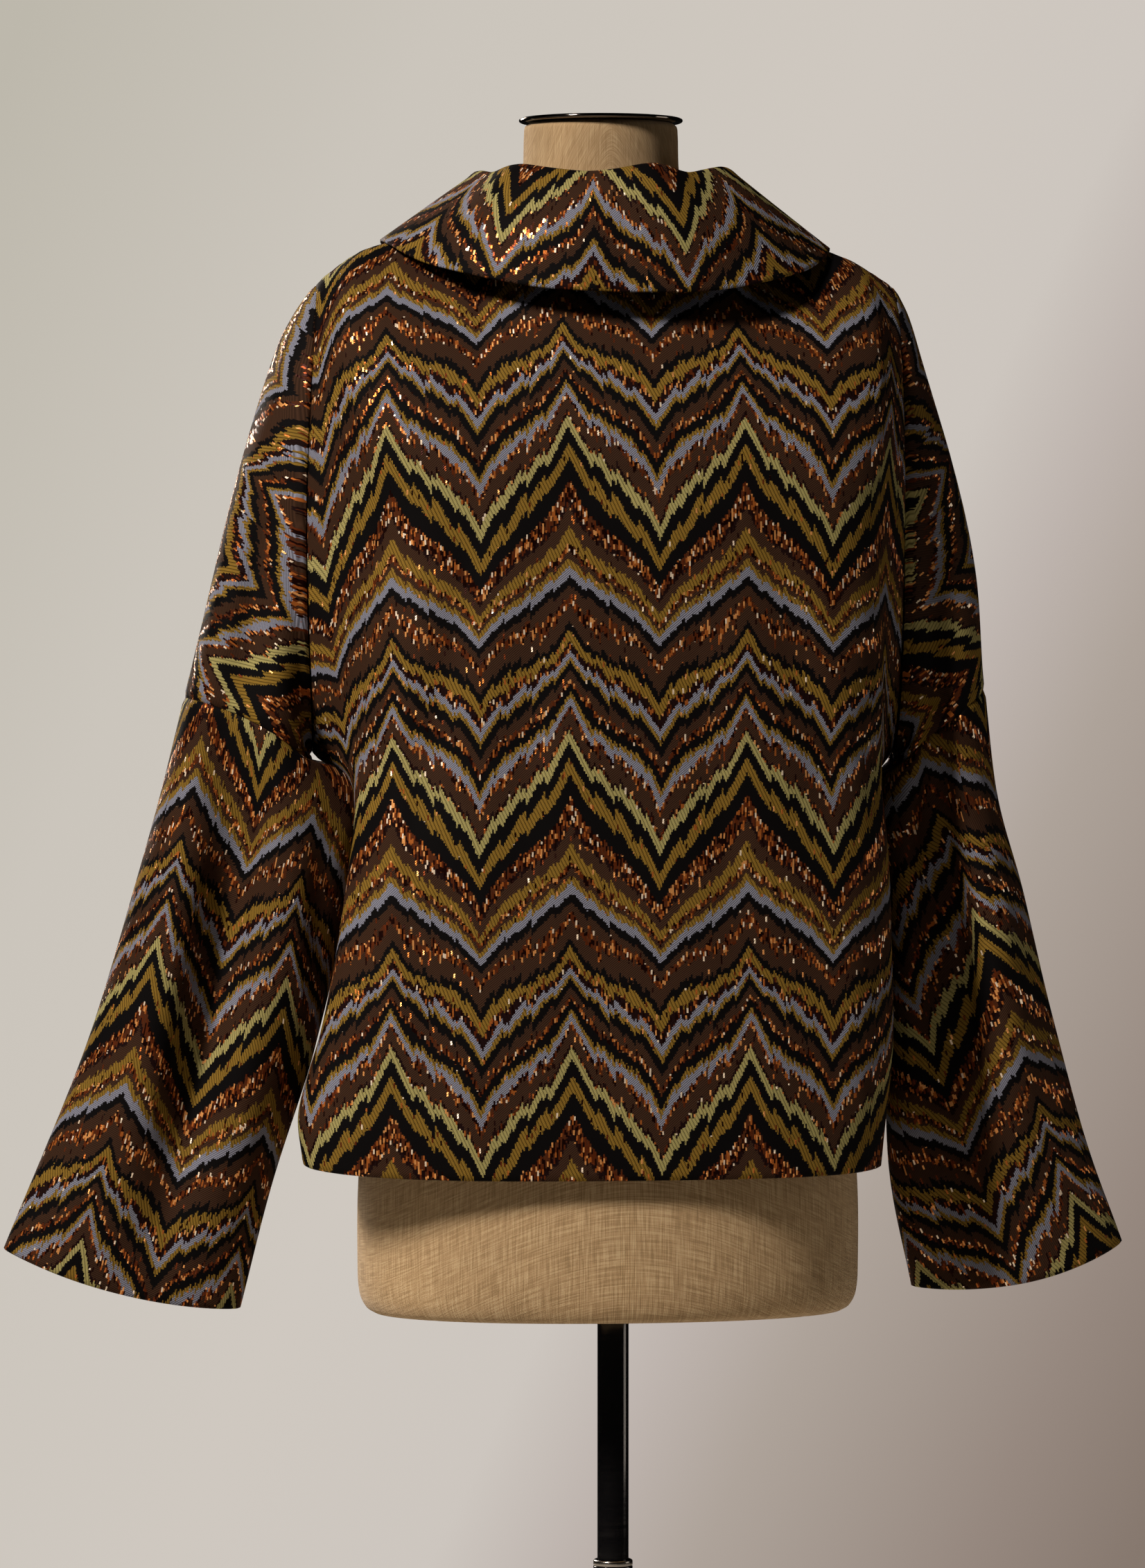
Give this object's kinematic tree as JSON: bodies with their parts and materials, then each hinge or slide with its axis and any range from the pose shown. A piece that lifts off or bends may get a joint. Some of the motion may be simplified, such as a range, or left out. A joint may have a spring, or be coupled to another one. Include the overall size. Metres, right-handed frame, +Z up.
{
  "type": "casual jacket on a dress form",
  "caption": "Boxy jacket with a wide turned-down collar and flared sleeves, worn by a limbless dress form on a round stand whose pole slides and turns.",
  "frame": {"origin": "the point on the floor under the middle of the round base, on the pole's axis", "axes": "+Z up along the pole; the jacket's front faces -Y, its back +Y; the wearer's left is +X"},
  "size_m": [0.7838, 0.38, 1.4775],
  "materials": {
    "flame_cloth": "woven jacquard in a flame-stitch zigzag with copper metal threads",
    "cross_cloth": "the same jacquard cut across the grain",
    "linen": "plain-weave linen drawn over a smooth hard form",
    "chrome": "polished dark nickel plate",
    "black_tube": "gloss black lacquered steel tube",
    "rim_steel": "polished steel edge",
    "black_base": "satin black powder coat"
  },
  "bodies": {
    "stand": {"base_plate": "black_base", "outer_tube": "black_tube", "tube_rim": "rim_steel"},
    "mast": {"mast": "black_tube"},
    "bust": {"torso": "linen", "neck_cap": "chrome", "back": "flame_cloth", "front_left": "flame_cloth", "front_right": "flame_cloth", "sleeve_top_left": "cross_cloth", "sleeve_top_right": "cross_cloth", "sleeve_low_left": "flame_cloth", "sleeve_low_right": "flame_cloth", "collar": "flame_cloth"}
  },
  "joints": [
    {"name": "height", "type": "slide", "parent": "stand", "child": "mast", "axis": [0, 0, 1], "range_m": [-0.155, 0.2]},
    {"name": "turn", "type": "hinge", "parent": "mast", "child": "bust", "pos_m": [0, 0, 0.65], "axis": [0, 0, 1], "continuous": true}
  ]
}
